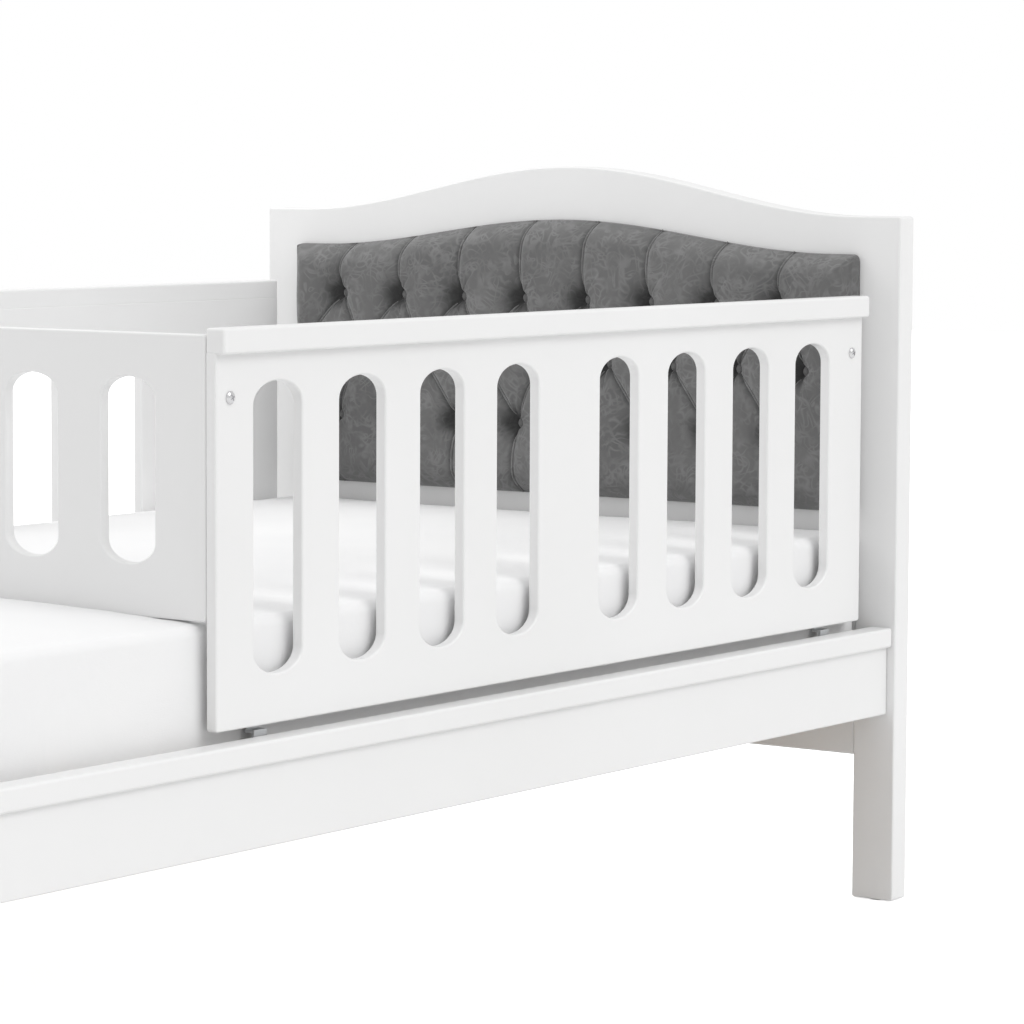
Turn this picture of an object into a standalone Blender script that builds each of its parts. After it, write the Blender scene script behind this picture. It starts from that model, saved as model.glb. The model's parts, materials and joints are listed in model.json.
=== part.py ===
"""Toddler bed: camel-back headboard with an upholstered pad, slatted base, rails, guards and a divider.

Metres, +Z up. +X is the side of the front guard, +Y points to the headboard, and Z = 0 is the floor.
The origin is the middle of the bed's footprint.
"""

import math

import bmesh
import bpy
from mathutils import Matrix, Vector

# ---- driving dimensions ----------------------------------------------------------------------
BED_WIDTH = 0.880
INNER_LENGTH = 1.810
GAP = 0.0003
EASED_EDGE = 0.0015

# head and foot ends
END_BOARD = 0.030
LEG_WIDTH = 0.052
HEAD_SHOULDER = 0.757
HEAD_ARCH_RISE = 0.052
ARCH_HALF = 0.385
FOOT_SHOULDER = 0.455
FOOT_ARCH_RISE = 0.040
GLIDE_HEIGHT = 0.0015
GLIDE_RADIUS = 0.010
BOARD_UNDERSIDE = 0.400
FOOT_BOARD_UNDERSIDE = 0.340
CROSS_BOARD = 0.018
CROSS_BOARD_LOW = 0.161
CROSS_BOARD_SET_BACK = 0.001

# upholstered pad
PAD_HALF_WIDTH = 0.390
PAD_LOW = 0.431
PAD_SHOULDER = 0.715
PAD_ARCH_RISE = 0.033
PAD_ARCH_HALF = 0.355
PAD_BACKING = 0.004
PAD_THICKNESS = 0.026
PAD_EDGE_ROUND = 0.006

# side rails
RAIL_INNER = 0.4088
RAIL_OUTER = 0.4302
RAIL_LOW = 0.2093
RAIL_CAP_OUTER = 0.4366
RAIL_CAP_LOW = 0.2841
RAIL_TOP = 0.3056

# slatted base and mattress
LEDGE = 0.020
LEDGE_LOW = 0.236
LEDGE_TOP = 0.258
LEDGE_HALF_LENGTH = 0.870
SLAT_THICKNESS = 0.018
SLAT_WIDTH = 0.070
SLAT_PITCH = 0.140
SLAT_COUNT = 13
MATTRESS_HALF_WIDTH = 0.395
MATTRESS_HALF_LENGTH = 0.900
MATTRESS_TOP = 0.4105
MATTRESS_ROUND = 0.028

# guards
GUARD_OUTER = 0.4126
GUARD_BOARD = 0.012
GUARD_FOOT_END = -0.235
GUARD_HEAD_END = 0.873
GUARD_LOW = 0.315
GUARD_TOP = 0.6475
GUARD_CAP_OUTER = 0.4221
GUARD_CAP_TOP = 0.671
FRONT_SLOT_WIDTH = 0.069
FRONT_SLOT_OFFSETS = (0.0875, 0.2110, 0.3345, 0.4585)
BACK_SLOT_WIDTH = 0.085
BACK_SLOT_OFFSETS = (0.1225, 0.2665, 0.4105)
SLOT_LOW = 0.360
SLOT_TOP = 0.622
BACK_SLOT_TOP = 0.604
SLOT_END_SHARE = 0.62
SLOT_SHIFT = -0.008

# divider across the bed
DIVIDER_BOARD = 0.012
DIVIDER_LOW = 0.412
DIVIDER_TOP = 0.665
DIVIDER_SLOT_WIDTH = 0.062
DIVIDER_SLOT_OFFSETS = (0.0825, 0.1970, 0.3110)
DIVIDER_SLOT_LOW = 0.4595
DIVIDER_SLOT_TOP = 0.6255

# hardware
BOLT_FROM_FOOT_END = 0.0194
BOLT_FROM_HEAD_END = 0.0227
BOLT_HEIGHT = 0.6095
BOLT_RADIUS = 0.003
BOLT_HEAD_RADIUS = 0.006
BOLT_HEAD_HEIGHT = 0.003
BOLT_HOLE_RADIUS = 0.0034
NUT_RADIUS = 0.0062
BLOCK = 0.020
BLOCK_LOW = 0.430
BRACKET_WIDTH = 0.018
BRACKET_PLATE = 0.0025
BRACKET_OFFSET = 0.4875
BRACKET_LOW = 0.286
BRACKET_TOP = 0.352
BRACKET_STEP_LOW = 0.3085
CORNER_REACH = 0.030
CORNER_LOW = 0.214
CORNER_TOP = 0.234

ARC_STEPS = 8
ROUND_STEPS = 16

# ---- values that follow ----------------------------------------------------------------------
HALF_WIDTH = BED_WIDTH / 2
HALF_INNER = INNER_LENGTH / 2
SLAT_LOW = LEDGE_TOP + GAP
SLAT_TOP = SLAT_LOW + SLAT_THICKNESS
GUARD_INNER = GUARD_OUTER - GUARD_BOARD
GUARD_MIDDLE = (GUARD_FOOT_END + GUARD_HEAD_END) / 2
DIVIDER_END = GUARD_INNER - GAP


# ---- materials -------------------------------------------------------------------------------
def make_material(name, colour, roughness, metallic=0.0):
    material = bpy.data.materials.new(name)
    material.use_nodes = True
    shader = material.node_tree.nodes["Principled BSDF"]
    shader.inputs["Base Color"].default_value = (*colour, 1.0)
    shader.inputs["Roughness"].default_value = roughness
    shader.inputs["Metallic"].default_value = metallic
    return material


def finish(mesh, name, look, bevel=0.0, bevel_steps=1):
    """Turn a bmesh into a named object with outward faces, a material and eased edges."""
    bmesh.ops.recalc_face_normals(mesh, faces=mesh.faces)
    data = bpy.data.meshes.new(name)
    mesh.to_mesh(data)
    mesh.free()
    data.materials.append(MATERIALS[look])
    data.shade_smooth()
    data.set_sharp_from_angle(angle=math.radians(35))
    piece = bpy.data.objects.new(name, data)
    bpy.context.scene.collection.objects.link(piece)
    if bevel > 0.0:
        ease = piece.modifiers.new("eased_edges", "BEVEL")
        ease.width = bevel
        ease.segments = bevel_steps
        ease.limit_method = "ANGLE"
        ease.angle_limit = math.radians(40)
    return piece


# ---- shapes ----------------------------------------------------------------------------------
def make_box(name, low, high, look, bevel=EASED_EDGE, bevel_steps=1):
    low = Vector(low)
    high = Vector(high)
    mesh = bmesh.new()
    bmesh.ops.create_cube(mesh, size=1.0)
    size = high - low
    place = Matrix.Translation((low + high) / 2) @ Matrix.Diagonal((*size, 1.0))
    bmesh.ops.transform(mesh, matrix=place, verts=mesh.verts)
    return finish(mesh, name, look, bevel, bevel_steps)


def slot_outline(middle, low, top, width):
    """Slot outline with flattened round ends, as (across, up) points."""
    radius = width / 2
    rise = radius * SLOT_END_SHARE
    points = []
    for centre, start in ((top - rise, 0.0), (low + rise, math.pi)):
        for step in range(ARC_STEPS + 1):
            turn = start + math.pi * step / ARC_STEPS
            points.append((middle + radius * math.cos(turn), centre + rise * math.sin(turn)))
    return points


def circle_outline(middle, height, radius):
    turns = [math.tau * step / ROUND_STEPS for step in range(ROUND_STEPS)]
    return [(middle + radius * math.cos(t), height + radius * math.sin(t)) for t in turns]


def make_plate(name, outline, holes, near, thickness, across, look, bevel=EASED_EDGE, bevel_steps=1):
    """Board cut from (across, up) outlines. across is the row axis, X or Y, that the outline runs along."""
    mesh = bmesh.new()

    def place(point, depth):
        if across == "X":
            return (point[0], depth, point[1])
        return (depth, point[0], point[1])

    for loop in (outline, *holes):
        corners = [mesh.verts.new(place(point, near)) for point in loop]
        for index, corner in enumerate(corners):
            mesh.edges.new((corners[index - 1], corner))
    bmesh.ops.triangle_fill(mesh, edges=mesh.edges, use_beauty=True)
    grown = bmesh.ops.extrude_face_region(mesh, geom=mesh.faces[:])
    fresh = [item for item in grown["geom"] if isinstance(item, bmesh.types.BMVert)]
    shift = (0.0, thickness, 0.0) if across == "X" else (thickness, 0.0, 0.0)
    bmesh.ops.translate(mesh, verts=fresh, vec=shift)
    return finish(mesh, name, look, bevel, bevel_steps)


def make_turned(name, profile, centre, axis, look):
    """Solid turned about axis. profile runs from one point on the axis to another, as (height, radius)."""
    mesh = bmesh.new()
    spin = Vector((0, 0, 1)).rotation_difference(Vector(axis)).to_matrix()
    rings = []
    for height, radius in profile:
        if radius == 0.0:
            rings.append([mesh.verts.new(Vector(centre) + spin @ Vector((0, 0, height)))])
            continue
        ring = []
        for step in range(ROUND_STEPS):
            turn = math.tau * step / ROUND_STEPS
            offset = Vector((radius * math.cos(turn), radius * math.sin(turn), height))
            ring.append(mesh.verts.new(Vector(centre) + spin @ offset))
        rings.append(ring)
    for lower, upper in zip(rings, rings[1:]):
        for step in range(ROUND_STEPS):
            after = (step + 1) % ROUND_STEPS
            if len(lower) == 1:
                mesh.faces.new((lower[0], upper[step], upper[after]))
            elif len(upper) == 1:
                mesh.faces.new((lower[step], lower[after], upper[0]))
            else:
                mesh.faces.new((lower[step], lower[after], upper[after], upper[step]))
    return finish(mesh, name, look)


def camel_back(half, low, shoulder, rise, arch_half, steps=28):
    """Outline points of a camel-back top edge, from +half to -half, above a level bottom edge."""
    points = [(-half, low), (half, low), (half, shoulder)]
    for step in range(steps + 1):
        across = arch_half * (1 - 2 * step / steps)
        lift = rise * 0.5 * (1 + math.cos(math.pi * across / arch_half))
        points.append((across, shoulder + lift))
    points.append((-half, shoulder))
    return points


# ---- head and foot ends ----------------------------------------------------------------------
def make_end(prefix, side, shoulder, rise, underside):
    """Camel-back end board with its two legs, and the plain board fitted between the legs."""
    inner_leg = HALF_WIDTH - LEG_WIDTH
    outline = camel_back(HALF_WIDTH, GLIDE_HEIGHT, shoulder, rise, ARCH_HALF)
    between_legs = [(-inner_leg, GLIDE_HEIGHT), (-inner_leg, underside)]
    between_legs += [(inner_leg, underside), (inner_leg, GLIDE_HEIGHT)]
    outline = outline[:1] + between_legs + outline[1:]
    near = HALF_INNER if side > 0 else -HALF_INNER - END_BOARD
    make_plate(f"{prefix}_board", outline, (), near, END_BOARD, "X", "white_paint", 0.002)

    back = near + CROSS_BOARD_SET_BACK if side > 0 else -HALF_INNER - CROSS_BOARD_SET_BACK - CROSS_BOARD
    make_box(
        f"{prefix}_cross_board",
        (-inner_leg + GAP, back, CROSS_BOARD_LOW),
        (inner_leg - GAP, back + CROSS_BOARD, underside - GAP),
        "white_paint",
    )
    for hand, across in (("back", -1), ("front", 1)):
        glide = [(0.0, 0.0), (0.0, GLIDE_RADIUS - 0.0005), (0.0005, GLIDE_RADIUS)]
        glide += [(GLIDE_HEIGHT - GAP, GLIDE_RADIUS), (GLIDE_HEIGHT - GAP, 0.0)]
        spot = (across * (HALF_WIDTH - LEG_WIDTH / 2), near + END_BOARD / 2, 0.0)
        make_turned(f"{prefix}_glide_{hand}", glide, spot, (0, 0, 1), "glide_plastic")


def make_pad():
    """Plywood backing screwed to the headboard, with the foam and fabric pad in front of it."""
    face = HALF_INNER - GAP
    inset = 0.004
    backing = camel_back(
        PAD_HALF_WIDTH - inset, PAD_LOW + inset, PAD_SHOULDER - inset, PAD_ARCH_RISE, PAD_ARCH_HALF
    )
    make_plate(
        "pad_backing_board", backing, (), face - PAD_BACKING, PAD_BACKING, "X", "plain_wood", 0.0
    )
    front = face - PAD_BACKING - GAP - PAD_THICKNESS
    outline = camel_back(PAD_HALF_WIDTH, PAD_LOW, PAD_SHOULDER, PAD_ARCH_RISE, PAD_ARCH_HALF)
    make_plate(
        "headboard_pad", outline, (), front, PAD_THICKNESS, "X", "pad_fabric", PAD_EDGE_ROUND, 2
    )


# ---- rails, slats and mattress ---------------------------------------------------------------
def across_bed(side, inner, outer):
    """Lowest and highest X of something between two distances from the bed's middle."""
    return (inner, outer) if side > 0 else (-outer, -inner)


def make_rails():
    reach = HALF_INNER - GAP
    for hand, side in (("front", 1), ("back", -1)):
        low, high = across_bed(side, RAIL_INNER, RAIL_OUTER)
        make_box(
            f"side_rail_{hand}",
            (low, -reach, RAIL_LOW),
            (high, reach, RAIL_CAP_LOW - GAP),
            "white_paint",
        )
        low, high = across_bed(side, RAIL_INNER, RAIL_CAP_OUTER)
        make_box(
            f"side_rail_cap_{hand}",
            (low, -reach, RAIL_CAP_LOW),
            (high, reach, RAIL_TOP),
            "white_paint",
            0.003,
            2,
        )
        low, high = across_bed(side, RAIL_INNER - GAP - LEDGE, RAIL_INNER - GAP)
        make_box(
            f"slat_ledge_{hand}",
            (low, -LEDGE_HALF_LENGTH, LEDGE_LOW),
            (high, LEDGE_HALF_LENGTH, LEDGE_TOP),
            "plain_wood",
        )


def make_slats():
    reach = RAIL_INNER - 2 * GAP
    for index in range(SLAT_COUNT):
        middle = (index - (SLAT_COUNT - 1) / 2) * SLAT_PITCH
        make_box(
            f"slat_{index + 1:02d}",
            (-reach, middle - SLAT_WIDTH / 2, SLAT_LOW),
            (reach, middle + SLAT_WIDTH / 2, SLAT_TOP),
            "plain_wood",
            0.003,
        )


def make_mattress():
    make_box(
        "mattress",
        (-MATTRESS_HALF_WIDTH, -MATTRESS_HALF_LENGTH, SLAT_TOP + GAP),
        (MATTRESS_HALF_WIDTH, MATTRESS_HALF_LENGTH, MATTRESS_TOP),
        "mattress_cover",
        MATTRESS_ROUND,
        4,
    )


# ---- guards and divider ----------------------------------------------------------------------
def bolt_places():
    return (
        ("foot", GUARD_FOOT_END + BOLT_FROM_FOOT_END),
        ("head", GUARD_HEAD_END - BOLT_FROM_HEAD_END),
    )


def make_guard(hand, side, slot_width, slot_offsets, slot_top):
    near, _ = across_bed(side, GUARD_INNER, GUARD_OUTER)
    outline = [(GUARD_FOOT_END, GUARD_LOW), (GUARD_HEAD_END, GUARD_LOW)]
    outline += [(GUARD_HEAD_END, GUARD_TOP), (GUARD_FOOT_END, GUARD_TOP)]
    holes = [
        slot_outline(GUARD_MIDDLE + SLOT_SHIFT + sign * offset, SLOT_LOW, slot_top, slot_width)
        for sign in (-1, 1)
        for offset in slot_offsets
    ]
    holes += [circle_outline(along, BOLT_HEIGHT, BOLT_HOLE_RADIUS) for _, along in bolt_places()]
    make_plate(
        f"guard_panel_{hand}", outline, holes, near, GUARD_BOARD, "Y", "white_paint", 0.0012
    )
    low, high = across_bed(side, GUARD_INNER, GUARD_CAP_OUTER)
    make_box(
        f"guard_cap_{hand}",
        (low, GUARD_FOOT_END, GUARD_TOP + GAP),
        (high, GUARD_HEAD_END, GUARD_CAP_TOP),
        "white_paint",
        0.003,
        2,
    )
    for place, along in bolt_places():
        make_bolt(f"{hand}_{place}", side, along, BLOCK if place == "foot" else 0.0)
    make_corner_block(hand, side)
    for place, sign in (("foot", -1), ("head", 1)):
        make_bracket(f"guard_bracket_{hand}_{place}", side, GUARD_MIDDLE + sign * BRACKET_OFFSET)


def make_bolt(suffix, side, along, packing):
    """Dome-headed bolt through the guard, and the cap nut on its inner end. packing is extra wood."""
    head = BOLT_HEAD_HEIGHT
    grip = GUARD_BOARD + (packing + GAP if packing else 0.0)
    tip = -grip - 0.004
    bolt = [(tip, 0.0), (tip, BOLT_RADIUS), (GAP, BOLT_RADIUS), (GAP, BOLT_HEAD_RADIUS)]
    for step in range(1, 4):
        turn = math.pi / 2 * step / 4
        bolt.append((GAP + head * math.sin(turn), BOLT_HEAD_RADIUS * math.cos(turn)))
    bolt.append((GAP + head, 0.0))
    centre = (side * GUARD_OUTER, along, BOLT_HEIGHT)
    make_turned(f"guard_bolt_{suffix}", bolt, centre, (side, 0, 0), "chrome")

    face = -grip - GAP
    reach = tip - GAP
    nut = [(reach - 0.003, 0.0), (reach - 0.002, NUT_RADIUS * 0.6), (reach, NUT_RADIUS)]
    nut += [(face, NUT_RADIUS), (face, BOLT_RADIUS + GAP), (reach, BOLT_RADIUS + GAP), (reach, 0.0)]
    make_turned(f"guard_nut_{suffix}", nut, centre, (side, 0, 0), "chrome")


def make_corner_block(hand, side):
    """Square batten in the corner between a guard and the divider, drilled for the guard's bolt."""
    low = GUARD_FOOT_END + DIVIDER_BOARD + GAP
    drilled = GUARD_FOOT_END + BOLT_FROM_FOOT_END
    near, _ = across_bed(side, GUARD_INNER - GAP - BLOCK, GUARD_INNER - GAP)
    outline = [(low, BLOCK_LOW), (low + BLOCK, BLOCK_LOW), (low + BLOCK, GUARD_TOP), (low, GUARD_TOP)]
    hole = circle_outline(drilled, BOLT_HEIGHT, BOLT_HOLE_RADIUS)
    make_plate(f"corner_block_{hand}", outline, (hole,), near, BLOCK, "Y", "white_paint", 0.0)


def make_bracket(name, side, along):
    """Stepped steel plate from the inner face of a guard down to the inner face of the rail cap."""
    guard_face = GUARD_INNER - GAP
    rail_face = RAIL_INNER - GAP
    step_top = BRACKET_STEP_LOW + BRACKET_PLATE
    section = [
        (rail_face, BRACKET_LOW),
        (rail_face, step_top),
        (guard_face, step_top),
        (guard_face, BRACKET_TOP),
        (guard_face - BRACKET_PLATE, BRACKET_TOP),
        (guard_face - BRACKET_PLATE, BRACKET_STEP_LOW),
        (rail_face - BRACKET_PLATE, BRACKET_STEP_LOW),
        (rail_face - BRACKET_PLATE, BRACKET_LOW),
    ]
    outline = [(side * across, up) for across, up in section]
    make_plate(name, outline, (), along - BRACKET_WIDTH / 2, BRACKET_WIDTH, "X", "steel", 0.0)


def make_divider():
    outline = [(-DIVIDER_END, DIVIDER_LOW), (DIVIDER_END, DIVIDER_LOW)]
    outline += [(DIVIDER_END, DIVIDER_TOP), (-DIVIDER_END, DIVIDER_TOP)]
    holes = [
        slot_outline(sign * offset, DIVIDER_SLOT_LOW, DIVIDER_SLOT_TOP, DIVIDER_SLOT_WIDTH)
        for sign in (-1, 1)
        for offset in DIVIDER_SLOT_OFFSETS
    ]
    make_plate(
        "divider_panel", outline, holes, GUARD_FOOT_END, DIVIDER_BOARD, "X", "white_paint", 0.0012
    )


def make_corner_plates():
    """Steel angles that join each end of a side rail to the leg it meets."""
    rail_face = RAIL_INNER - GAP
    end_face = HALF_INNER - GAP
    for end, along in (("head", 1), ("foot", -1)):
        for hand, side in (("front", 1), ("back", -1)):
            section = [
                (rail_face, end_face),
                (rail_face - CORNER_REACH, end_face),
                (rail_face - CORNER_REACH, end_face - BRACKET_PLATE),
                (rail_face - BRACKET_PLATE, end_face - BRACKET_PLATE),
                (rail_face - BRACKET_PLATE, end_face - CORNER_REACH),
                (rail_face, end_face - CORNER_REACH),
            ]
            mesh = bmesh.new()
            corners = [mesh.verts.new((side * x, along * y, CORNER_LOW)) for x, y in section]
            face = mesh.faces.new(corners)
            grown = bmesh.ops.extrude_face_region(mesh, geom=[face])
            fresh = [item for item in grown["geom"] if isinstance(item, bmesh.types.BMVert)]
            bmesh.ops.translate(mesh, verts=fresh, vec=(0, 0, CORNER_TOP - CORNER_LOW))
            finish(mesh, f"corner_plate_{end}_{hand}", "steel")


# ---- assembly --------------------------------------------------------------------------------
for leftover in list(bpy.data.objects):
    bpy.data.objects.remove(leftover)

MATERIALS = {
    "white_paint": make_material("white_paint", (0.86, 0.86, 0.86), 0.35),
    "pad_fabric": make_material("pad_fabric", (0.16, 0.16, 0.16), 0.75),
    "mattress_cover": make_material("mattress_cover", (0.88, 0.88, 0.88), 0.9),
    "plain_wood": make_material("plain_wood", (0.62, 0.46, 0.30), 0.6),
    "chrome": make_material("chrome", (0.75, 0.75, 0.76), 0.2, 1.0),
    "steel": make_material("steel", (0.55, 0.55, 0.56), 0.4, 1.0),
    "glide_plastic": make_material("glide_plastic", (0.75, 0.75, 0.74), 0.5),
}

make_end("headboard", 1, HEAD_SHOULDER, HEAD_ARCH_RISE, BOARD_UNDERSIDE)
make_end("footboard", -1, FOOT_SHOULDER, FOOT_ARCH_RISE, FOOT_BOARD_UNDERSIDE)
make_pad()
make_rails()
make_slats()
make_mattress()
make_guard("front", 1, FRONT_SLOT_WIDTH, FRONT_SLOT_OFFSETS, SLOT_TOP)
make_guard("back", -1, BACK_SLOT_WIDTH, BACK_SLOT_OFFSETS, BACK_SLOT_TOP)
make_divider()
make_corner_plates()
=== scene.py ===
"""Looks of a white toddler bed with a button-tufted camel-back headboard.

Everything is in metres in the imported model's frame: +Z up, +Y to the headboard, +X to the front guard.
"""

import json
import math

import bmesh
import bpy
import numpy as np
from mathutils import Matrix, Vector, noise

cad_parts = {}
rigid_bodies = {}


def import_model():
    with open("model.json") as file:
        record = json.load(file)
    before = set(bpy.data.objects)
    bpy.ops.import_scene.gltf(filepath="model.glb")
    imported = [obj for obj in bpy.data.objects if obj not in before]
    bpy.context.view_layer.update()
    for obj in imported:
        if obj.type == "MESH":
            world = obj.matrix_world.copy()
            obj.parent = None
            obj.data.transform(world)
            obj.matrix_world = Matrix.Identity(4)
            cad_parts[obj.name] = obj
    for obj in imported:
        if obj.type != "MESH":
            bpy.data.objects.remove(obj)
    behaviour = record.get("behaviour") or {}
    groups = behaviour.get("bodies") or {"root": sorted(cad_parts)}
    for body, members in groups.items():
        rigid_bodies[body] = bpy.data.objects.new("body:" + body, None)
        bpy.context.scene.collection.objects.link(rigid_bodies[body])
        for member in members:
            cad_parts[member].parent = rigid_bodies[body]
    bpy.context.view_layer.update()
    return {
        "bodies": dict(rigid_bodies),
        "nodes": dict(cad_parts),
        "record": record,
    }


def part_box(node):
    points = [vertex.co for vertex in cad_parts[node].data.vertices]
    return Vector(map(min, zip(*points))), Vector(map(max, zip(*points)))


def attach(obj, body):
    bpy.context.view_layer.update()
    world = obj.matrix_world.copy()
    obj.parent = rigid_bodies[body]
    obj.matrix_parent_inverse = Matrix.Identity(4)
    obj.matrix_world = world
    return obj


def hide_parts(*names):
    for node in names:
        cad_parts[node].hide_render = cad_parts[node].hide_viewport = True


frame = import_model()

BODY = next(iter(frame["bodies"]))
NODES = frame["nodes"]

# ---- sizes that repeat the design's own ------------------------------------------------------
LEG_WIDTH = 0.052
CROSS_GAP = 0.0003
HEAD_SHOULDER = 0.757
HEAD_ARCH_RISE = 0.052
FOOT_SHOULDER = 0.455
FOOT_ARCH_RISE = 0.040
ARCH_HALF = 0.385
HEAD_UNDERSIDE = 0.400
FOOT_UNDERSIDE = 0.340
PAD_SHOULDER = 0.715
PAD_ARCH_RISE = 0.033
PAD_ARCH_HALF = 0.355
FRONT_SLOT_WIDTH = 0.069
FRONT_SLOT_OFFSETS = (0.0875, 0.2110, 0.3345, 0.4585)
BACK_SLOT_WIDTH = 0.085
BACK_SLOT_OFFSETS = (0.1225, 0.2665, 0.4105)
SLOT_LOW = 0.360
SLOT_TOP = 0.622
BACK_SLOT_TOP = 0.604
SLOT_END_SHARE = 0.62
SLOT_SHIFT = -0.008
DIVIDER_SLOT_WIDTH = 0.062
DIVIDER_SLOT_OFFSETS = (0.0825, 0.1970, 0.3110)
DIVIDER_SLOT_LOW = 0.4595
DIVIDER_SLOT_TOP = 0.6255
CORNER_EASE = 0.0032
RIM_EASE = 0.0022
TONGUE = 0.0035

ARC_STEPS = 28
ARCH_STEPS = 72
SQUARE_TURN = math.radians(50)

# ---- finishes --------------------------------------------------------------------------------
PAINT_COLOURS = ((0.83, 0.83, 0.828), (0.86, 0.86, 0.86))
FABRIC_COLOURS = ((0.126, 0.126, 0.126), (0.156, 0.156, 0.155))
CURL_COLOUR = (0.225, 0.225, 0.225)
CURL_STRENGTH = 0.58
# Painted shade: the near-black that the pad's fabric is blended towards in its button pits, along its folds
# and left of each button.
PAINTED_SHADE_COLOUR = (0.035, 0.035, 0.035)
PAINTED_SHADE_STRENGTH = 0.90
COTTON_COLOURS = ((0.84, 0.84, 0.845), (0.88, 0.88, 0.88))
PINE_COLOURS = ((0.60, 0.42, 0.25), (0.72, 0.55, 0.36))
PINE_FIBRE_COLOUR = (0.44, 0.29, 0.16)
GLIDE_COLOURS = ((0.66, 0.66, 0.65), (0.72, 0.72, 0.71))
FLOOR_COLOURS = ((0.85, 0.85, 0.85), (0.87, 0.87, 0.87))

# Each layer of curled lines: scale of its hills, rings on them, width of a line, place in the noise.
CURL_LAYERS = ((24.0, 8.0, 0.22, 0.0), (38.0, 6.0, 0.21, 3.7), (55.0, 4.0, 0.18, 7.9))

# The pad's point attribute that says how much painted shade a point gets, from 0 to 1.
PAINTED_SHADE_ATTRIBUTE = "painted_shade"


# ---- material nodes --------------------------------------------------------------------------
class Shade:
    """A material's node tree, with short calls for the nodes that the finishes use."""

    def __init__(self, name, **sockets):
        self.material = bpy.data.materials.new(name)
        self.material.use_nodes = True
        self.tree = self.material.node_tree
        self.shader = self.tree.nodes["Principled BSDF"]
        for socket, value in sockets.items():
            self.shader.inputs[socket.replace("_", " ")].default_value = value
        self.place = self.node("ShaderNodeTexCoord").outputs["Object"]

    def node(self, kind, **settings):
        made = self.tree.nodes.new(kind)
        for name, value in settings.items():
            setattr(made, name, value)
        return made

    def join(self, source, socket):
        if isinstance(source, (int, float)):
            socket.default_value = source
        else:
            self.tree.links.new(source, socket)

    def math(self, operation, first, second=0.0, third=0.0, clamp=False):
        made = self.node("ShaderNodeMath", operation=operation, use_clamp=clamp)
        for value, socket in zip((first, second, third), made.inputs):
            self.join(value, socket)
        return made.outputs[0]

    def stretched(self, scale):
        made = self.node("ShaderNodeMapping")
        made.inputs["Scale"].default_value = scale
        self.join(self.place, made.inputs["Vector"])
        return made.outputs["Vector"]

    def noise(self, scale, detail=2.0, roughness=0.5, distortion=0.0, at=None):
        made = self.node("ShaderNodeTexNoise")
        made.inputs["Scale"].default_value = scale
        made.inputs["Detail"].default_value = detail
        made.inputs["Roughness"].default_value = roughness
        made.inputs["Distortion"].default_value = distortion
        self.join(at or self.place, made.inputs["Vector"])
        return made.outputs["Fac"]

    def range(self, value, low, high, to_low, to_high):
        made = self.node("ShaderNodeMapRange")
        limits = {"From Min": low, "From Max": high, "To Min": to_low, "To Max": to_high}
        for name, number in limits.items():
            made.inputs[name].default_value = number
        self.join(value, made.inputs["Value"])
        return made.outputs["Result"]

    def blend(self, amount, first, second):
        made = self.node("ShaderNodeMix", data_type="RGBA")
        self.join(amount, made.inputs["Factor"])
        for colour, socket in ((first, made.inputs["A"]), (second, made.inputs["B"])):
            if isinstance(colour, tuple):
                socket.default_value = (*colour, 1.0)
            else:
                self.join(colour, socket)
        return made.outputs["Result"]

    def mottle(self, value, colours):
        """Blend two colours by the middle of a noise's range."""
        return self.blend(self.range(value, 0.3, 0.7, 0.0, 1.0), *colours)

    def bump(self, *layers):
        """layers are (height, strength, distance), the widest one first."""
        below = None
        for height, strength, distance in layers:
            made = self.node("ShaderNodeBump")
            made.inputs["Strength"].default_value = strength
            made.inputs["Distance"].default_value = distance
            self.join(height, made.inputs["Height"])
            if below is not None:
                self.join(below, made.inputs["Normal"])
            below = made.outputs["Normal"]
        self.join(below, self.shader.inputs["Normal"])

    def colour(self, source):
        self.join(source, self.shader.inputs["Base Color"])

    def roughness(self, source):
        self.join(source, self.shader.inputs["Roughness"])


def white_paint():
    """Sprayed satin lacquer on board: faint cloudiness, orange peel and a fine dust of grain."""
    shade = Shade("white_lacquer", Coat_Weight=0.12, Coat_Roughness=0.25, Specular_IOR_Level=0.45)
    cloud = shade.noise(2.6, 3.0)
    shade.colour(shade.mottle(cloud, PAINT_COLOURS))
    shade.roughness(shade.range(shade.noise(14.0, 4.0), 0.25, 0.75, 0.30, 0.42))
    peel = shade.noise(190.0, 2.0)
    grain = shade.noise(60.0, 5.0, 0.65, at=shade.stretched((6.0, 0.6, 6.0)))
    shade.bump((grain, 0.05, 0.0006), (peel, 0.06, 0.0004))
    return shade.material


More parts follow.
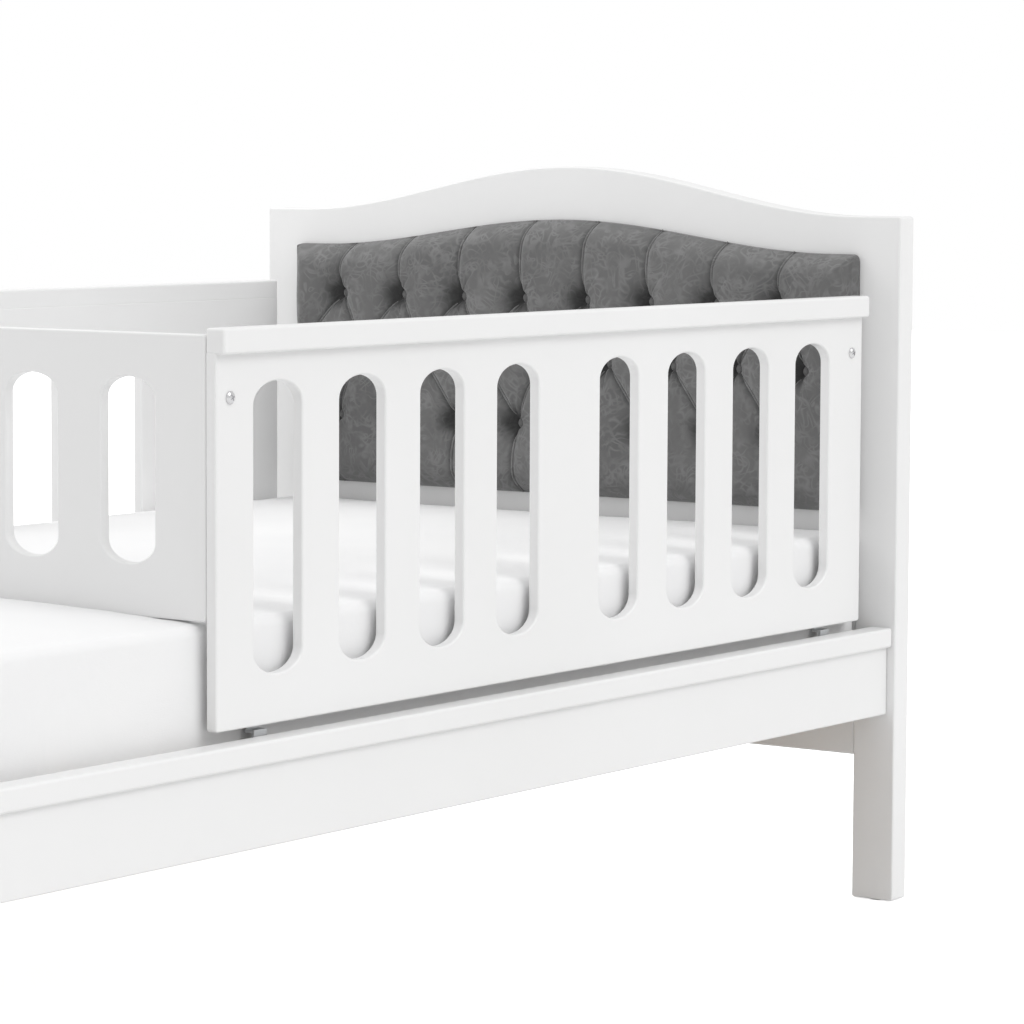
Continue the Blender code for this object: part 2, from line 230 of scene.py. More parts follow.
def tufted_fabric(name, patterned):
    """Grey woven upholstery fabric; the pad's has pale raised lines that curl round each other, and painted
    shade in its button pits, along its folds and left of each button.
    """
    shade = Shade(name, Sheen_Weight=0.35, Sheen_Roughness=0.45, Specular_IOR_Level=0.25)
    ground = shade.noise(9.0, 3.0)
    plain = shade.mottle(ground, FABRIC_COLOURS)
    weave = shade.noise(1500.0, 2.0)
    layers = [(weave, 0.25, 0.0004)]
    if patterned:
        lines = None
        for scale, rings, width, seed in CURL_LAYERS:
            shifted = shade.node("ShaderNodeVectorMath", operation="ADD")
            shade.join(shade.place, shifted.inputs[0])
            shifted.inputs[1].default_value = (seed, seed, seed)
            hills = shade.noise(scale, 0.8, 0.4, 0.7, at=shifted.outputs[0])
            step = shade.math("FRACT", shade.math("MULTIPLY", hills, rings))
            near = shade.math("ABSOLUTE", shade.math("SUBTRACT", step, 0.5))
            line = shade.range(near, width * 0.15, width, 1.0, 0.0)
            lines = line if lines is None else shade.math("MAXIMUM", lines, line)
        broken = shade.range(shade.noise(60.0, 2.0), 0.34, 0.60, 0.10, 1.0)
        lines = shade.math("MULTIPLY", lines, broken, clamp=True)
        woven = shade.blend(shade.math("MULTIPLY", lines, CURL_STRENGTH), plain, CURL_COLOUR)
        # Painted shade: blend the fabric towards a near-black by the pad's painted-shade attribute.
        painted_shade = shade.node("ShaderNodeAttribute", attribute_name=PAINTED_SHADE_ATTRIBUTE).outputs["Fac"]
        painted_shade_amount = shade.math("MULTIPLY", painted_shade, PAINTED_SHADE_STRENGTH)
        shade.colour(shade.blend(painted_shade_amount, woven, PAINTED_SHADE_COLOUR))
        shade.roughness(shade.range(lines, 0.0, 1.0, 0.80, 0.60))
        layers.insert(0, (lines, 0.30, 0.0005))
    else:
        shade.colour(plain)
        shade.roughness(0.78)
    shade.bump(*layers)
    return shade.material


def mattress_cover():
    """White cotton jersey: a fine knit, soft creases and a little fuzz."""
    shade = Shade("mattress_cotton", Sheen_Weight=0.25, Sheen_Roughness=0.6, Specular_IOR_Level=0.2)
    tone = shade.noise(3.5, 3.0)
    shade.colour(shade.mottle(tone, COTTON_COLOURS))
    shade.roughness(shade.range(shade.noise(40.0, 3.0), 0.3, 0.7, 0.82, 0.94))
    creases = shade.noise(7.0, 4.0, 0.55, 0.6)
    knit = shade.noise(1100.0, 2.0, at=shade.stretched((1.0, 0.45, 1.0)))
    shade.bump((creases, 0.35, 0.006), (knit, 0.25, 0.0004))
    return shade.material


def pine():
    """Sanded softwood slats, with the grain along X."""
    shade = Shade("pine", Specular_IOR_Level=0.35)
    rings = shade.noise(9.0, 4.0, 0.55, 1.6, at=shade.stretched((0.35, 5.0, 5.0)))
    fibre = shade.noise(60.0, 5.0, 0.6, at=shade.stretched((0.12, 4.0, 4.0)))
    base = shade.blend(shade.range(rings, 0.35, 0.65, 0.0, 1.0), *PINE_COLOURS)
    shade.colour(shade.blend(shade.range(fibre, 0.35, 0.7, 0.0, 0.35), base, PINE_FIBRE_COLOUR))
    shade.roughness(shade.range(fibre, 0.3, 0.7, 0.5, 0.66))
    shade.bump((fibre, 0.2, 0.0006))
    return shade.material


def metal(name, colour, smooth, rough):
    """Bare metal with fine scratches, which are brighter and a little rougher."""
    shade = Shade(name, Metallic=1.0)
    scratch = shade.noise(240.0, 3.0, at=shade.stretched((1.0, 6.0, 1.0)))
    brighter = tuple(min(1.0, part * 1.12) for part in colour)
    shade.colour(shade.blend(scratch, colour, brighter))
    shade.roughness(shade.range(scratch, 0.3, 0.7, smooth, rough))
    shade.bump((scratch, 0.05, 0.0002))
    return shade.material


def glide_plastic():
    """Pale moulded plastic of the glides under the legs."""
    shade = Shade("glide_plastic", Specular_IOR_Level=0.4)
    speck = shade.noise(700.0, 2.0)
    shade.colour(shade.blend(speck, *GLIDE_COLOURS))
    shade.roughness(shade.range(speck, 0.3, 0.7, 0.45, 0.6))
    shade.bump((speck, 0.15, 0.0003))
    return shade.material


LOOKS = {
    "white_paint": white_paint(),
    "pad_fabric": tufted_fabric("tufted_fabric", True),
    "mattress_cover": mattress_cover(),
    "plain_wood": pine(),
    "chrome": metal("chrome", (0.72, 0.72, 0.73), 0.12, 0.22),
    "steel": metal("zinc_steel", (0.52, 0.53, 0.54), 0.32, 0.46),
    "glide_plastic": glide_plastic(),
}
BUTTON_FABRIC = tufted_fabric("button_fabric", False)


def paint_cad_nodes():
    """Give each CAD node the finish of its own material slot."""
    for row in frame["record"]["subparts"]:
        data = NODES[row["node"]].data
        data.materials.clear()
        data.materials.append(LOOKS[row["material_slot"]])


# ---- pieces ----------------------------------------------------------------------------------
def finish_piece(mesh, name, slot, stands_for=(), material=None, sharp=35.0):
    """Turn a bmesh into a piece that rides on the bed and stands for its CAD nodes."""
    bmesh.ops.recalc_face_normals(mesh, faces=mesh.faces)
    data = bpy.data.meshes.new(name)
    mesh.to_mesh(data)
    mesh.free()
    data.materials.append(material or LOOKS[slot])
    data.shade_smooth()
    data.set_sharp_from_angle(angle=math.radians(sharp))
    piece = bpy.data.objects.new(name, data)
    bpy.context.scene.collection.objects.link(piece)
    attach(piece, BODY)
    if stands_for:
        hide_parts(*stands_for)
    return piece


def join_rings(mesh, rings):
    """Faces between each closed ring of vertices and the next."""
    for first, second in zip(rings, rings[1:]):
        for k in range(len(first)):
            mesh.faces.new((first[k - 1], first[k], second[k], second[k - 1]))


def ease_edges(piece, width, steps):
    """Round the edges that turn by more than 40 degrees."""
    ease = piece.modifiers.new("eased_edges", "BEVEL")
    ease.width = width
    ease.segments = steps
    ease.limit_method = "ANGLE"
    ease.angle_limit = math.radians(40)
    ease.harden_normals = True


def slot_outline(middle, low, top, width):
    """Slot with flattened round ends, as (across, up) points."""
    radius = width / 2
    rise = radius * SLOT_END_SHARE
    points = []
    for centre, start in ((top - rise, 0.0), (low + rise, math.pi)):
        for step in range(ARC_STEPS + 1):
            turn = start + math.pi * step / ARC_STEPS
            points.append((middle + radius * math.cos(turn), centre + rise * math.sin(turn)))
    return points


def eased_corners(outline, radius, steps=4):
    """The outline with each square corner turned into a small arc."""
    points = []
    for index, point in enumerate(outline):
        here = Vector(point)
        into = (here - Vector(outline[index - 1])).normalized()
        away = (Vector(outline[(index + 1) % len(outline)]) - here).normalized()
        turn = math.atan2(into.x * away.y - into.y * away.x, into.dot(away))
        if abs(turn) < SQUARE_TURN:
            points.append(tuple(here))
            continue
        reach = radius * math.tan(abs(turn) / 2)
        start = here - into * reach
        side = math.copysign(1.0, turn)
        centre = start + Vector((-into.y, into.x)) * radius * side
        spoke = start - centre
        for step in range(steps + 1):
            points.append(tuple(centre + Matrix.Rotation(turn * step / steps, 2) @ spoke))
    return points


def counter_clockwise(loop):
    """The loop itself, or reversed if it runs clockwise."""
    area = sum(a[0] * b[1] - b[0] * a[1] for a, b in zip(loop, loop[1:] + loop[:1]))
    return loop if area > 0 else loop[::-1]


def rim_facts(loop):
    """At each point of the loop: the way out of the material, and the mitred step for 1 m of inset."""
    here = np.array(loop)
    ahead = np.roll(here, -1, axis=0) - here
    length = np.hypot(*ahead.T)
    out_ahead = np.stack((ahead[:, 1], -ahead[:, 0]), axis=1) / length[:, None]
    out_behind = np.roll(out_ahead, 1, axis=0)
    weight = np.roll(length, 1)[:, None]
    out = out_ahead * length[:, None] + out_behind * weight
    out /= np.hypot(*out.T)[:, None]
    mitre = (out_ahead + out_behind) / (1 + (out_ahead * out_behind).sum(axis=1))[:, None]
    return here, out, -mitre


def board(name, nodes, outline, holes, near, far, across, ease=RIM_EASE, steps=5):
    """Board cut to (across, up) outlines between near and far, its rims rounded over on both faces.

    across is X or Y, the horizontal axis that the outlines run along.
    """

    def solid(flat, depth):
        return (flat[0], depth, flat[1]) if across == "X" else (depth, flat[0], flat[1])

    mesh = bmesh.new()
    normals = []

    def corner(flat, depth, out, toward):
        normals.append(Vector(solid(out, toward)).normalized())
        return mesh.verts.new(solid(flat, depth))

    flats = {near: [], far: []}
    loops = [counter_clockwise(outline)] + [counter_clockwise(hole)[::-1] for hole in holes]
    for loop in loops:
        here, out, inward = rim_facts(loop)
        rings = []
        for face, side in ((near, -1.0), (far, 1.0)):
            turns = [math.pi / 2 * step / steps for step in range(steps + 1)]
            if face == near:
                turns.reverse()
            for turn in turns:
                flat = here + inward * ease * (1 - math.cos(turn))
                depth = face - side * ease * (1 - math.sin(turn))
                rings.append(
                    [
                        corner(point, depth, way * math.cos(turn), side * math.sin(turn))
                        for point, way in zip(flat, out)
                    ]
                )
        join_rings(mesh, rings)
        flats[near].append(rings[0])
        flats[far].append(rings[-1])
    for face in (near, far):
        edges = []
        for ring in flats[face]:
            edges += [mesh.edges.get((ring[k - 1], ring[k])) for k in range(len(ring))]
        bmesh.ops.triangle_fill(mesh, edges=edges, use_beauty=True)
    piece = finish_piece(mesh, name, "white_paint", nodes, sharp=180.0)
    piece.data.normals_split_custom_set_from_vertices(normals)


def camel_back(half, low, shoulder, rise, arch_half):
    """Outline of a board whose top edge rises in one smooth wave to its middle."""
    points = [(-half, low), (half, low), (half, shoulder)]
    for step in range(ARCH_STEPS + 1):
        across = arch_half * (1 - 2 * step / ARCH_STEPS)
        lift = rise * 0.5 * (1 + math.cos(math.pi * across / arch_half))
        points.append((across, shoulder + lift))
    points.append((-half, shoulder))
    return points


def end_board(prefix, shoulder, rise, underside):
    """Headboard or footboard: legs at both ends, and an arched top edge between its shoulders."""
    low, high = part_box(f"{prefix}_board")
    inner_leg = high.x - LEG_WIDTH
    outline = camel_back(high.x, low.z, shoulder, rise, ARCH_HALF)
    notch = [(-inner_leg, low.z), (-inner_leg, underside), (inner_leg, underside), (inner_leg, low.z)]
    cut = eased_corners(outline[:1] + notch + outline[1:], CORNER_EASE)
    board(f"{prefix}_board_finished", [f"{prefix}_board"], cut, (), low.y, high.y, "X")


def guard_panel(hand, slot_width, slot_offsets, slot_top):
    """Slotted guard, its top edge let into the cap as a tongue."""
    low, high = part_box(f"guard_panel_{hand}")
    middle = (low.y + high.y) / 2 + SLOT_SHIFT
    top = high.z + TONGUE
    outline = [(low.y, low.z), (high.y, low.z), (high.y, top), (low.y, top)]
    holes = [
        slot_outline(middle + sign * offset, SLOT_LOW, slot_top, slot_width)
        for sign in (-1, 1)
        for offset in slot_offsets
    ]
    cut = eased_corners(outline, CORNER_EASE)
    board(f"guard_panel_{hand}_finished", [f"guard_panel_{hand}"], cut, holes, low.x, high.x, "Y")


def divider_panel():
    """Slotted panel that stands across the bed at the guards' foot end."""
    low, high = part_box("divider_panel")
    outline = [(low.x, low.z), (high.x, low.z), (high.x, high.z), (low.x, high.z)]
    holes = [
        slot_outline(sign * offset, DIVIDER_SLOT_LOW, DIVIDER_SLOT_TOP, DIVIDER_SLOT_WIDTH)
        for sign in (-1, 1)
        for offset in DIVIDER_SLOT_OFFSETS
    ]
    cut = eased_corners(outline, CORNER_EASE)
    board("divider_panel_finished", ["divider_panel"], cut, holes, low.y, high.y, "X")


def rounded_bar(node, radius, steps=5, tongue=0.0):
    """The node's own box with softly rounded edges; tongue is how far its top is let into its cap."""
    low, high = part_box(node)
    high.z += tongue
    mesh = bmesh.new()
    bmesh.ops.create_cube(mesh, size=1.0)
    place = Matrix.Translation((low + high) / 2) @ Matrix.Diagonal((*(high - low), 1.0))
    bmesh.ops.transform(mesh, matrix=place, verts=mesh.verts)
    piece = finish_piece(mesh, f"{node}_finished", "white_paint", [node], sharp=180.0)
    ease_edges(piece, radius, steps)


# ---- tufted pad ------------------------------------------------------------------------------
PAD_COLUMNS = 640
PAD_LINES = 290
PAD_CORNER = 0.008
PAD_ROUNDING = 0.030
EDGE_THICKNESS = 0.006
PUFF_HEIGHT = 0.0250
LEAST_THICKNESS = 0.0045
TUFT_PITCH = 0.0873
TUFT_ROWS = (0.6575, 0.5850, 0.512)
ROW_SHIFTS = (-0.0040, -0.0175, -0.0100)

PIT_DEPTH = 0.0190
PIT_LEFT_REACH = 0.0180
PIT_RIGHT_REACH = 0.0085
PIT_OVER_FOLD = 0.18
GATHER_RADIUS = 0.0125
GATHER_SPREAD = 0.0065
GATHER_HEIGHT = 0.0007
DARK_SIDE_OFFSET = 0.010
DARK_SIDE_REACH = 0.0140

FOLD_LEFT_REACH = 0.0175
FOLD_RIGHT_REACH = 0.0070
FOLD_BUTTON_DEPTH = 0.010
DIAGONAL_BOW = 0.0035
DIAGONAL_MIDDLE_DEPTH = 0.0055
UPRIGHT_BOW_TOP = 0.0045
UPRIGHT_BOW_BOTTOM = -0.0030
UPRIGHT_MIDDLE_DEPTH = 0.0034
UPRIGHT_TOP_DEPTH = 0.0042
UPRIGHT_BOTTOM_DEPTH = 0.0040
GROOVE_DEPTH = 0.0020
GROOVE_REACH = 0.0034

SEAM_INSET = 0.0052
SEAM_REACH = 0.0009
SEAM_DEPTH = 0.0014
PIPING_INSET = 0.0026
PIPING_REACH = 0.0018
PIPING_HEIGHT = 0.0012
WANDER_HEIGHT = 0.0009

FOLD_STEPS = 26
FOLD_SIDES = 10
FOLD_HALF_WIDTH = 0.0015
FOLD_HALF_HEIGHT = 0.0012
FOLD_LIFT = 0.0004
BUTTON_CLEAR = 0.13

BUTTON_RADIUS = 0.0066
BUTTON_HEIGHT = 0.0058
BUTTON_RIM = 0.0010
BUTTON_SEAT = 0.0088
ROUND_STEPS = 32


def button_places():
    """Button centres as (across, up) in rows of eight, nine and eight, each with a shift of its own."""
    places = []
    for row, height in enumerate(TUFT_ROWS):
        count = 9 if row == 1 else 8
        for index in range(count):
            places.append(((index - (count - 1) / 2) * TUFT_PITCH + ROW_SHIFTS[row], height))
    return places


def pad_top(across):
    """Height of the pad's arched top edge."""
    inside = np.abs(across) < PAD_ARCH_HALF
    lift = PAD_ARCH_RISE * 0.5 * (1 + np.cos(np.pi * across / PAD_ARCH_HALF))
    return PAD_SHOULDER + np.where(inside, lift, 0.0)


def pad_folds(pad_low):
    """Folds of the fabric as (start, end, sideways bow, depth at start, middle and end).

    They join each button to its neighbours in the next row, and run from the top row up to the pad's
    top edge and from the bottom row down to its bottom edge.
    """
    places = button_places()
    depth = FOLD_BUTTON_DEPTH
    folds = []
    for first in places:
        for second in places:
            sideways = abs(second[0] - first[0])
            rise = second[1] - first[1]
            if 0.01 < rise < 0.1 and sideways < TUFT_PITCH * 0.7:
                bow = math.copysign(DIAGONAL_BOW, second[0] - first[0])
                folds.append((first, second, bow, depth, DIAGONAL_MIDDLE_DEPTH, depth))
        across, up = first
        if up == TUFT_ROWS[0]:
            end = (across + 0.007, float(pad_top(np.array(across))) + 0.001)
            folds.append((first, end, UPRIGHT_BOW_TOP, depth, UPRIGHT_MIDDLE_DEPTH, UPRIGHT_TOP_DEPTH))
        if up == TUFT_ROWS[-1]:
            end = (across - 0.004, pad_low - 0.001)
            folds.append(
                (first, end, UPRIGHT_BOW_BOTTOM, depth, UPRIGHT_MIDDLE_DEPTH, UPRIGHT_BOTTOM_DEPTH)
            )
    return folds


def fold_relief(across, up, fold):
    """How deep one fold presses the fabric: a broad valley, wider on its left, with a narrow groove."""
    (x0, z0), (x1, z1), bow, depth0, depth_middle, depth1 = fold
    run_x = x1 - x0
    run_z = z1 - z0
    length = math.hypot(run_x, run_z)
    along = ((across - x0) * run_x + (up - z0) * run_z) / length**2
    clipped = np.clip(along, 0.0, 1.0)
    side = ((across - x0) * run_z - (up - z0) * run_x) / length + bow * np.sin(np.pi * clipped)
    beyond = (along - clipped) * length
    distance = np.hypot(side, beyond)
    end_share = np.where(clipped < 0.5, depth0, depth1)
    depth = depth_middle + (end_share - depth_middle) * (np.abs(2 * clipped - 1)) ** 1.6
    reach = np.where(side < 0, FOLD_LEFT_REACH, FOLD_RIGHT_REACH)
    valley = depth * np.exp(-((distance / reach) ** 1.2))
    groove = GROOVE_DEPTH * np.exp(-((distance / GROOVE_REACH) ** 2))
    return valley, groove


def fold_point(fold, share):
    """Where the fold's own line runs, at a share of the way along it."""
    (x0, z0), (x1, z1), bow, *_ = fold
    run_x = x1 - x0
    run_z = z1 - z0
    length = math.hypot(run_x, run_z)
    arc = -bow * math.sin(math.pi * share)
    return x0 + run_x * share + arc * run_z / length, z0 + run_z * share - arc * run_x / length


def pad_height(across, up, pad_low, half):
    """How far the fabric stands off the board at each point of the pad's face, and how much painted shade it
    gets.
    """
    side_rim = half - np.abs(across)
    rim = np.minimum(side_rim, np.minimum(up - pad_low, (pad_top(across) - up) * 0.98))
    rim = np.clip(rim, 0.0, None)
    swell = 1 - (1 - np.clip(rim / PAD_ROUNDING, 0, 1)) ** 2.4
    height = EDGE_THICKNESS + PUFF_HEIGHT * swell

    valleys = np.zeros_like(height)
    grooves = np.zeros_like(height)
    for fold in pad_folds(pad_low):
        valley, groove = fold_relief(across, up, fold)
        valleys = np.maximum(valleys, valley)
        grooves = np.maximum(grooves, groove)
    pits = np.zeros_like(height)
    gathers = np.zeros_like(height)
    shaded = np.zeros_like(height)
    for x, z in button_places():
        sideways = across - x
        lifted = up - z
        distance = np.hypot(sideways, lifted)
        reach = np.where(sideways < 0, PIT_LEFT_REACH, PIT_RIGHT_REACH)
        well = PIT_DEPTH * np.exp(-((distance / reach) ** 1.35))
        pits = np.maximum(pits, well)
        angle = np.arctan2(lifted, sideways)
        spokes = np.sin(angle * 17 + 3 * np.sin(angle * 2 + x * 40)) * np.sin(angle * 5 + z * 90)
        ring = np.exp(-(((distance - GATHER_RADIUS) / GATHER_SPREAD) ** 2))
        gathers += GATHER_HEIGHT * spokes * ring
        # A patch of painted shade just left of each button, where the pit's slope falls in shade.
        away = np.hypot(sideways + DARK_SIDE_OFFSET, lifted) / DARK_SIDE_REACH
        shaded = np.maximum(shaded, np.exp(-(away**2)) * np.clip(0.5 - sideways / 0.006, 0.0, 1.0))
    height = height - np.maximum(valleys, pits) - PIT_OVER_FOLD * np.minimum(valleys, pits)
    height -= grooves * np.clip(swell * 1.4, 0, 1)
    height += gathers * swell

    seam = np.exp(-(((side_rim - SEAM_INSET) / SEAM_REACH) ** 2))
    piping = np.exp(-(((side_rim - PIPING_INSET) / PIPING_REACH) ** 2))
    height += PIPING_HEIGHT * piping - SEAM_DEPTH * seam
    # Painted shade: full in the button pits, weaker along the folds and grooves and in the patch left of
    # each button.
    painted_shade = np.clip(pits / PIT_DEPTH, 0, 1) ** 1.4
    painted_shade += 0.22 * np.clip(valleys / FOLD_BUTTON_DEPTH, 0, 1) + 0.48 * grooves / GROOVE_DEPTH
    painted_shade += 0.60 * shaded
    return np.maximum(height, LEAST_THICKNESS), np.clip(painted_shade, 0.0, 1.0)


def tufted_pad():
    """The whole padded panel as one closed piece: a fine height field in front and a flat back."""
    low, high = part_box("headboard_pad")
    board_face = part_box("headboard_board")[0].y
    half = high.x
    across = np.linspace(-half, half, PAD_COLUMNS)
    share = np.linspace(0.0, 1.0, PAD_LINES)
    grid_x, grid_t = np.meshgrid(across, share)
    inward = np.clip(PAD_CORNER - (half - np.abs(grid_x)), 0.0, PAD_CORNER)
    trim = PAD_CORNER - np.sqrt(np.maximum(PAD_CORNER**2 - inward**2, 0.0))
    bottom = low.z + trim
    grid_z = bottom + (pad_top(grid_x) - trim - bottom) * grid_t
    height, painted_shade = pad_height(grid_x, grid_z, low.z, half)
    wander = np.array(
        [
            noise.noise(Vector((float(x) * 24, float(z) * 24, 0.3)))
            + 0.4 * noise.noise(Vector((float(x) * 70, float(z) * 70, 2.1)))
            for x, z in zip(grid_x.ravel(), grid_z.ravel())
        ]
    ).reshape(grid_x.shape)
    height += WANDER_HEIGHT * wander * np.clip(height / 0.02, 0, 1)

    mesh = bmesh.new()
    rows = []
    for line in range(PAD_LINES):
        rows.append(
            [
                mesh.verts.new((x, board_face - h, z))
                for x, h, z in zip(grid_x[line], height[line], grid_z[line])
            ]
        )
    for lower, upper in zip(rows, rows[1:]):
        for index in range(PAD_COLUMNS - 1):
            mesh.faces.new((lower[index], lower[index + 1], upper[index + 1], upper[index]))
    rim = rows[0] + [row[-1] for row in rows[1:]] + rows[-1][-2::-1] + [row[0] for row in rows[-2:0:-1]]
    back = [mesh.verts.new((vert.co.x, board_face - CROSS_GAP, vert.co.z)) for vert in rim]
    for index in range(len(rim)):
        mesh.faces.new((rim[index - 1], rim[index], back[index], back[index - 1]))
    mesh.faces.new(back)
    piece = finish_piece(
        mesh, "tufted_pad", "pad_fabric", ["headboard_pad", "pad_backing_board"], sharp=75.0
    )
    # Store the painted shade on the height field's points; the flat back gets none.
    painted_shade_amount = np.zeros(len(piece.data.vertices))
    painted_shade_amount[: painted_shade.size] = painted_shade.ravel()
    piece.data.attributes.new(PAINTED_SHADE_ATTRIBUTE, "FLOAT", "POINT").data.foreach_set("value", painted_shade_amount)
    return board_face, low.z, half


def fold_edge(index, fold, board_face, pad_low, half):
    """The rolled edge of fabric that shows along one fold, lying on the pad's own surface."""
    at_button = fold[1] in button_places()
    first = BUTTON_CLEAR
    last = 1 - BUTTON_CLEAR if at_button else 0.99
    shares = [first + (last - first) * step / FOLD_STEPS for step in range(FOLD_STEPS + 1)]
    spots = [fold_point(fold, share) for share in shares]
    across = np.array([spot[0] for spot in spots])
    up = np.array([spot[1] for spot in spots])
    lifts, _ = pad_height(across, up, pad_low, half)
    line = [Vector((x, board_face - h - FOLD_LIFT, z)) for x, h, z in zip(across, lifts, up)]
    mesh = bmesh.new()
    rings = []
    for step, spot in enumerate(line):
        ahead = (line[min(step + 1, FOLD_STEPS)] - line[max(step - 1, 0)]).normalized()
        sideways = ahead.cross(Vector((0.0, -1.0, 0.0))).normalized()
        proud = sideways.cross(ahead)
        taper = min(1.0, 0.35 + 4.0 * min(step, FOLD_STEPS - step) / FOLD_STEPS)
        ring = []
        for k in range(FOLD_SIDES):
            turn = math.tau * k / FOLD_SIDES
            wide = sideways * math.cos(turn) * FOLD_HALF_WIDTH
            high = proud * math.sin(turn) * FOLD_HALF_HEIGHT
            ring.append(mesh.verts.new(spot + (wide + high) * taper))
        rings.append(ring)
    join_rings(mesh, rings)
    mesh.faces.new(rings[0])
    mesh.faces.new(rings[-1])
    finish_piece(mesh, f"pleat_edge_{index:02d}", "pad_fabric", sharp=80.0)


def pad_button(index, across, up, board_face):
    """Fabric-covered button: a shallow dome with a rolled rim, seated at the bottom of its tuft."""
    mesh = bmesh.new()
    seat = board_face - BUTTON_SEAT
    profile = [(0.0, BUTTON_RADIUS * 0.86), (BUTTON_RIM, BUTTON_RADIUS)]
    for step in range(1, 8):
        turn = math.pi / 2 * step / 8
        profile.append((BUTTON_RIM + BUTTON_HEIGHT * math.sin(turn), BUTTON_RADIUS * math.cos(turn)))
    turns = [math.tau * k / ROUND_STEPS for k in range(ROUND_STEPS)]
    rings = []
    for height, radius in profile:
        spots = [(across + radius * math.cos(a), seat - height, up + radius * math.sin(a)) for a in turns]
        rings.append([mesh.verts.new(spot) for spot in spots])
    join_rings(mesh, rings)
    mesh.faces.new(rings[0])
    crown = mesh.verts.new((across, seat - BUTTON_RIM - BUTTON_HEIGHT, up))
    for k in range(ROUND_STEPS):
        mesh.faces.new((rings[-1][k - 1], rings[-1][k], crown))
    finish_piece(mesh, f"tuft_button_{index:02d}", "pad_fabric", material=BUTTON_FABRIC, sharp=60.0)


# ---- mattress --------------------------------------------------------------------------------
MATTRESS_EDGE = 0.011
MATTRESS_CROWN = 0.0105
MATTRESS_STEP = 0.0095
EDGE_STEPS = 5
DENT_CLEAR = 0.0006
DENT_REACH = 0.030
DENT_RISE = 0.016
DENT_MARGIN = 0.001
DENT_FINE_STEP = 0.0024
SLACK_INSET = 0.0014
CREASE_HEIGHT = 0.0009
CORNER_FOLD_HEIGHT = 0.0011
BOTTOM_FADE = 0.02


def side_places(half, finer=()):
    """Grid places along one side of the box: even in the middle, finer over each rounded edge."""
    flat = half - MATTRESS_EDGE
    turns = [math.pi / 4 * step / EDGE_STEPS for step in range(1, EDGE_STEPS + 1)]
    edge = [flat + MATTRESS_EDGE * math.tan(turn) for turn in turns]
    count = max(2, round(2 * flat / MATTRESS_STEP))
    middle = sorted([-flat + 2 * flat * step / count for step in range(count + 1)] + list(finer))
    return [-place for place in reversed(edge)] + middle + edge


def box_shell(half, finer_along):
    """Rounded box about the origin, as a bmesh of even quads, finer at the given places along Y."""
    mesh = bmesh.new()
    places = [side_places(half.x), side_places(half.y, finer_along), side_places(half.z)]
    for fixed in range(3):
        first, second = [axis for axis in range(3) if axis != fixed]
        for sign in (-1, 1):
            grid = []
            for u in places[first]:
                line = []
                for v in places[second]:
                    spot = [0.0, 0.0, 0.0]
                    spot[fixed] = sign * half[fixed]
                    spot[first] = u
                    spot[second] = v
                    core = Vector(
                        max(-size + MATTRESS_EDGE, min(size - MATTRESS_EDGE, value))
                        for value, size in zip(spot, half)
                    )
                    way = (Vector(spot) - core).normalized()
                    line.append(mesh.verts.new(core + way * MATTRESS_EDGE))
                grid.append(line)
            for below, above in zip(grid, grid[1:]):
                for k in range(len(below) - 1):
                    mesh.faces.new((below[k], below[k + 1], above[k + 1], above[k]))
    bmesh.ops.remove_doubles(mesh, verts=mesh.verts, dist=1e-5)
    return mesh


def mattress():
    """Foam mattress in a fitted sheet: a slight crown, faint creases, and a dent under the divider."""
    low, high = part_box("mattress")
    divider_low, divider_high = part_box("divider_panel")
    middle = (low + high) / 2
    half = (high - low) / 2
    dent_place = (divider_low.y + divider_high.y) / 2 - middle.y
    dent_half = (divider_high.y - divider_low.y) / 2 + DENT_MARGIN
    dent_level = divider_low.z - DENT_CLEAR - middle.z
    finer = [
        dent_place + sign * (dent_half + DENT_FINE_STEP * step) for sign in (-1, 1) for step in range(9)
    ]
    mesh = box_shell(half, finer)
    bmesh.ops.recalc_face_normals(mesh, faces=mesh.faces)
    mesh.normal_update()
    for vert in mesh.verts:
        spot = vert.co.copy()
        normal = vert.normal.copy()
        u = spot.x / half.x
        v = spot.y / half.y
        level = abs(normal.z)
        soft = noise.noise(spot * 5.0) * 0.0013 + noise.noise(spot * 14.0) * 0.0006
        pull = noise.noise(Vector((spot.x * 9, spot.y * 9, spot.z * 2.5 + 4)))
        crease = (1 - min(1.0, abs(pull) * 7)) * CREASE_HEIGHT * (1 - level)
        corner = max(0.0, abs(u) * abs(v) - 0.55) / 0.45
        ripple = math.sin((spot.x + spot.y) * 120 + 9 * noise.noise(spot * 6.0))
        fold = ripple * CORNER_FOLD_HEIGHT * corner * (1 - level)
        fade = min(1.0, (spot.z + half.z) / BOTTOM_FADE)
        spot += normal * (soft + crease + fold - SLACK_INSET) * fade
        if spot.z > 0:
            crown = MATTRESS_CROWN * (1 - min(1.0, abs(u)) ** 4) * (1 - min(1.0, abs(v)) ** 10)
            spot.z += crown * min(1.0, spot.z / half.z)
            away = max(0.0, abs(spot.y - dent_place) - dent_half)
            rise = min(1.0, away / DENT_REACH)
            ceiling = dent_level + DENT_RISE * rise * (2 - rise)
            spot.z = min(spot.z, ceiling)
        vert.co = spot
    bmesh.ops.translate(mesh, verts=mesh.verts, vec=middle)
    piece = finish_piece(mesh, "mattress_in_sheet", "mattress_cover", ["mattress"], sharp=85.0)


# ---- bolts -----------------------------------------------------------------------------------
BOLT_DOME = 0.0030
BOLT_SHANK_RADIUS = 0.0030
RECESS_LONG = 0.0060
RECESS_SHORT = 0.0013
RECESS_DEPTH = 0.0036
RECESS_TURN = 25


